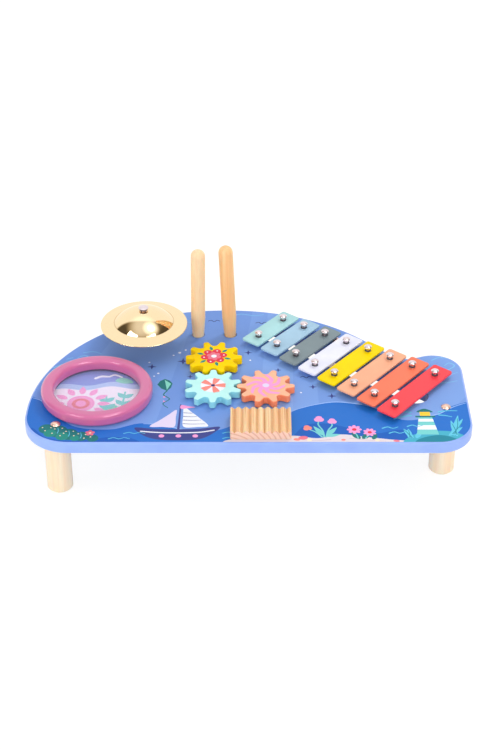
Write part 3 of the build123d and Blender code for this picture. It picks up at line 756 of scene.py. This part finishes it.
# Small navy sparkles, gulls and white dots, and wind at the back
draw("navy",
     *(sparkle(x, y, r) for x, y, r in
       ((-66, 20, 6.2), (-97, 10, 5.0), (-58, -8, 3.6), (44, 22, 4.8), (62, 4, 4.4), (30, 4, 3.6),
        (64, -26, 4.4), (82, -42, 5.0), (-12, -70, 4.2), (0, 36, 4.6))))
draw("ink",
     *(stroke([(x - 6, y + 1.2), (x - 3, y + 2.6), (x, y), (x + 3, y + 2.6), (x + 6, y + 1.2)], 0.9, 0.9)
       for x, y in ((14, 92), (-36, 96), (8, 62), (58, -10))))
draw("white",
     *(circle(x, y, r, count=14) for x, y, r in
       ((-70, 36, 1.5), (-64, 41, 1.1), (-76, 31, 1.0), (-90, -2, 1.2), (-94, -7, 0.9), (34, 96, 1.5),
        (40, 101, 1.2), (36, 88, 0.9), (2, 22, 1.0), (52, -36, 1.0), (92, -34, 1.1), (-100, 18, 1.0))))
draw("faint",
     stroke([(-20, 107), (-8, 111), (6, 108), (16, 110)], 1.4, 0.8),
     stroke([(-80, 92), (-70, 97), (-60, 94)], 1.4, 0.8))

# Openings that the film leaves free: the sound slot, the beaters' holes, and those round the
# cymbal's bolt, the gears' axles and three of the legs' bolts
SLOT_PLAY = 0.15
BEATER_HOLES = ((-52, 71), (-18.6, 71))
LEG_BOLTS = [middle(f"leg_{name}") for name in ("front_left", "right", "rear_left")]

slot_outline = []
for side, first in ((-1, 90), (1, -90)):
    end = polar(*ROW_MIDDLE, side * SLOT_REACH, SLOT_TURN)
    slot_outline += [polar(*end, SLOT_RADIUS + SLOT_PLAY, SLOT_TURN + first + 180 * k / 16)
                     for k in range(17)]
draw(CUT, slot_outline)
for places, radius in ((BEATER_HOLES, 6.8), ([CYMBAL], 2.9), (GEARS.values(), 5.3), (LEG_BOLTS, 3.3)):
    draw(CUT, *(circle(*place, radius, count=32) for place in places))

print_film("print_board", "table", BOARD_TOP + FILM_LIFT, picture)

# ---------------------------------------------------------------- the picture under the drum's film

DRUM_PRINT_RADIUS = 43.4
SUN_FLOWER = (-15, -14)

drum_figures = (
    # Sky and hills
    ("pearl", circle(0, 0, DRUM_PRINT_RADIUS, count=96)),
    ("sky", blob((-60, 60), (-60, 12), (-34, 20), (-10, 17), (14, 24), (36, 19), (60, 24), (60, 60))),
    ("haze", blob((-60, 12), (-34, 20), (-10, 17), (14, 24), (36, 19), (60, 24), (60, 15), (36, 11),
                  (12, 16), (-12, 9), (-36, 12), (-60, 4))),
    ("mint", blob((-2, -60), (4, -26), (16, -16), (28, -22), (36, -12), (46, -16), (56, -60))),
    ("aqua", blob((10, -60), (14, -34), (24, -27), (33, -32), (40, -26), (50, -30), (56, -60))),
    # Plants
    *(("aqua", stroke([(x, -44), (x + lean * 0.4, -24), (x + lean, y)], 3.0, 1.8))
      for x, lean, y in ((12, -3, 0), (24, 3, 6), (34, 5, -4))),
    *(("aqua", leaf(x, y, 11.0, 6.0, bearing))
      for x, y, turn in ((10.6, -22, 0), (9.4, -11, 0), (25.4, -16, 8), (26.6, -4, 8), (37, -18, 14))
      for bearing in (44 - turn, 136 - turn)),
    # A flower like a sun
    ("pink", circle(*SUN_FLOWER, 13.5, count=40)),
    ("rose", circle(*SUN_FLOWER, 8.8, count=32)),
    ("pink", circle(*SUN_FLOWER, 5.2, count=24)),
    *(("pink", leaf(*polar(*SUN_FLOWER, 16, bearing), 13.0, 6.6, bearing)) for bearing in range(0, 360, 30)),
    # A cloud, a bush and dots
    ("white", stroke([(-4, 30), (2, 33.5), (9, 33), (15, 36), (22, 32)], 3.4, 2.2)),
    ("mint", blob((16, 26), (22, 31), (30, 28), (34, 22), (24, 21))),
    ("white", circle(22, -21, 1.6, count=14)),
    ("white", circle(30, -26, 1.2, count=14)),
    ("white", circle(13, -30, 1.3, count=14)),
)
print_film("print_drum", "table", BOARD_TOP + 2 * FILM_LIFT,
           [(placed(figure, *DRUM), ink) for ink, figure in drum_figures])

# ---------------------------------------------------------------- the pictures on the gears

GEAR_PRINT_RADIUS = 19.0


def gear_print(name, *figures):
    """Figures about a gear's middle, on a film that turns with it."""
    layers = [(circle(*GEARS[name], GEAR_PRINT_RADIUS, count=64), CUT)]
    layers += [(placed(figure, *GEARS[name]), ink) for ink, figure in figures]
    print_film(f"print_gear_{name}", f"gear_{name}", GEAR_TOP + FILM_LIFT, layers)


# A flower with a dot on each petal, and leaves between them
gear_print(
    "yellow",
    ("red", flower(0, 0.5, 13.5, 0.36, 6, 12)),
    ("rose", flower(0, 0.5, 7.4, 0.3, 6, 42)),
    ("white", circle(0, 0.5, 2.8, count=20)),
    *(("white", circle(*polar(0, 0.5, 10.2, bearing), 0.9, count=12)) for bearing in range(12, 372, 60)),
    *(("green", leaf(*polar(0, 0.5, 11.0, bearing), 7.2, 3.4, bearing)) for bearing in range(-18, 342, 60)))

# A parasol
gear_print(
    "teal",
    ("white", circle(0, 0, 12.2, count=48)),
    *(("coral", blob((0, 0), polar(0, 0, 11.8, bearing - 17), polar(0, 0, 12.2, bearing),
                     polar(0, 0, 11.8, bearing + 17), steps=3))
      for bearing in range(0, 360, 72)),
    ("ink", circle(0, 0, 2.0, count=18)))

# A pinwheel
gear_print(
    "orange",
    *(("pink", stroke([polar(0, 0, 4, bearing), polar(0, 0, 12, bearing + 16),
                       polar(0, 0, 19.5, bearing + 46)], 5.4, 2.4))
      for bearing in range(0, 360, 45)),
    ("pink", circle(0, 0, 7.0, count=32)),
    ("lilac", circle(0, 0, 3.4, count=24)))

# ---------------------------------------------------------------- studio

FLOOR_SIZE = 28
FLOOR_PAPER = (238, 238, 240)
FLOOR_SEEN = (146, 143, 131)

# Round lamps that gloss and metal see: the way to each, its half angle in degrees, and its power
ROUND_LAMPS = (
    ((-0.1, -0.15, 0.98), 46, 0.5),
    ((0.345, -0.19, 0.92), 27, 1.0),
    ((0.345, -0.19, 0.92), 12, 4.0),
)
# Two strip lamps, half-way up at the front left and the front right
STRIP_BEARINGS = (221, 303)
STRIP_POWER = 9.0
# The light on matt surfaces, and the tint of the mirrored room where it is dark
ROOM_LIGHT = 0.68
GOLDEN = (1.0, 0.84, 0.6, 1)


def floor():
    """Pale paper that keeps the shadow. Where it is seen or mirrored, it glows up to white."""
    half = FLOOR_SIZE / 2
    mesh = bpy.data.meshes.new("floor")
    mesh.from_pydata([(-half, -half, 0), (half, -half, 0), (half, half, 0), (-half, half, 0)], [],
                     [(0, 1, 2, 3)])
    piece = bpy.data.objects.new("floor", mesh)
    bpy.context.scene.collection.objects.link(piece)
    shader = Shader("floor_paper")
    rays = shader.node("LightPath").outputs
    seen = shader.math("MAXIMUM", rays["Is Glossy Ray"], rays["Is Transmission Ray"])
    seen = shader.math("MAXIMUM", rays["Is Camera Ray"], seen)
    shader.set(base_color=shader.mix(seen, linear(FLOOR_PAPER), linear(FLOOR_SEEN)), roughness=0.9)
    shader.set(emission_color=(1, 1, 1, 1), emission_strength=shader.math("MULTIPLY", seen, 0.815))
    shader.set(specular_ior_level=0.0)
    mesh.materials.append(shader.material)


def mirrored_room(graph):
    """What gloss and metal see: white behind, dark in front and darker at the sides, with lamps."""
    direction = graph.node("TexCoord").outputs["Generated"]
    x, y, z = graph.split(direction)
    sideways = graph.math("MULTIPLY", x, x)
    dark = graph.spread(sideways, 0.1, 0.6, 0.34, 0.09)
    back = graph.math("SUBTRACT", y, graph.math("MULTIPLY", sideways, 0.3))
    back = graph.spread(back, 0.1, 0.26, 0.0, 1.0, "SMOOTHSTEP")
    light = graph.math("ADD", dark, graph.math("MULTIPLY", back, graph.math("SUBTRACT", 1.05, dark)))
    for aim, half_angle, power in ROUND_LAMPS:
        nearness = graph.node("VectorMath", operation="DOT_PRODUCT")
        graph.join(direction, nearness.inputs[0])
        nearness.inputs[1].default_value = Vector(aim).normalized()
        edge = math.cos(math.radians(half_angle))
        lamp = graph.spread(nearness.outputs["Value"], edge, 1.0, 0.0, power, "SMOOTHSTEP")
        light = graph.math("ADD", light, lamp)
    level = graph.math("MULTIPLY", graph.spread(z, 0.6, 0.63), graph.spread(z, 0.775, 0.755))
    flat = graph.math("SQRT", graph.math("SUBTRACT", 1.0, graph.math("MULTIPLY", z, z)))
    for bearing in STRIP_BEARINGS:
        aim_x, aim_y = polar(0, 0, 1, bearing)
        along = graph.math("ADD", graph.math("MULTIPLY", x, aim_x), graph.math("MULTIPLY", y, aim_y))
        strip = graph.spread(graph.math("DIVIDE", along, flat), 0.93, 0.945, 0.0, STRIP_POWER)
        light = graph.math("ADD", light, graph.math("MULTIPLY", strip, level))
    return light


def world():
    """A white room for matt surfaces, the mirrored room for gloss, and plain white for the camera."""
    made = bpy.data.worlds.new("studio")
    bpy.context.scene.world = made
    graph = Graph(made)
    rays = graph.node("LightPath").outputs
    light = mirrored_room(graph)
    matt = graph.spread(rays["Is Glossy Ray"], 0, 1, ROOM_LIGHT, 0.0)
    strength = graph.math("ADD", matt, graph.math("MULTIPLY", rays["Is Glossy Ray"], light))
    seen = graph.math("MAXIMUM", rays["Is Camera Ray"], rays["Is Transmission Ray"])
    strength = graph.math("ADD", graph.math("MULTIPLY", strength, graph.math("SUBTRACT", 1.0, seen)), seen)
    golden = graph.math("MULTIPLY", rays["Is Glossy Ray"], graph.spread(light, 0.3, 0.9, 1.0, 0.0))
    background = graph.node("Background")
    graph.join(graph.mix(golden, (1, 1, 1, 1), GOLDEN), background.inputs["Color"])
    graph.join(strength, background.inputs["Strength"])
    graph.join(background.outputs[0], graph.node("OutputWorld").inputs["Surface"])


def softbox(name, place, aim_height, width, depth, power):
    """A soft lamp that looks at a point over the origin. The mirrored room shows its own lamps."""
    light = bpy.data.lights.new(name, "AREA")
    light.shape = "RECTANGLE"
    light.size, light.size_y = width, depth
    light.energy = power
    piece = bpy.data.objects.new(name, light)
    piece.location = place
    piece.rotation_euler = (Vector((0, 0, aim_height)) - Vector(place)).to_track_quat("-Z", "Y").to_euler()
    piece.visible_glossy = False
    bpy.context.scene.collection.objects.link(piece)


def add_camera():
    """The camera at the front, which looks down on the table."""
    camera = bpy.data.cameras.new("camera")
    camera.lens = 76.8
    camera.sensor_width = 36
    piece = bpy.data.objects.new("camera", camera)
    piece.location = (0.0018, -1.33375, 0.9650)
    piece.rotation_euler = (math.radians(90 - 33.84), 0, 0)
    bpy.context.scene.collection.objects.link(piece)
    bpy.context.scene.camera = piece


floor()
world()
softbox("top_box", (0.0, 0.0, 1.7), 0.05, 1.2, 1.0, 1.4)
softbox("back_box", (0.55, 0.75, 1.25), 0.05, 0.35, 0.35, 5.6)
softbox("front_box", (0.1, -2.2, 1.1), 0.05, 1.8, 0.9, 18.5)
softbox("left_box", (-1.9, -0.7, 0.45), 0.08, 0.9, 0.6, 8)
softbox("right_box", (1.9, -0.7, 0.45), 0.08, 0.9, 0.6, 5)
add_camera()
bpy.context.scene.view_settings.view_transform = "Standard"
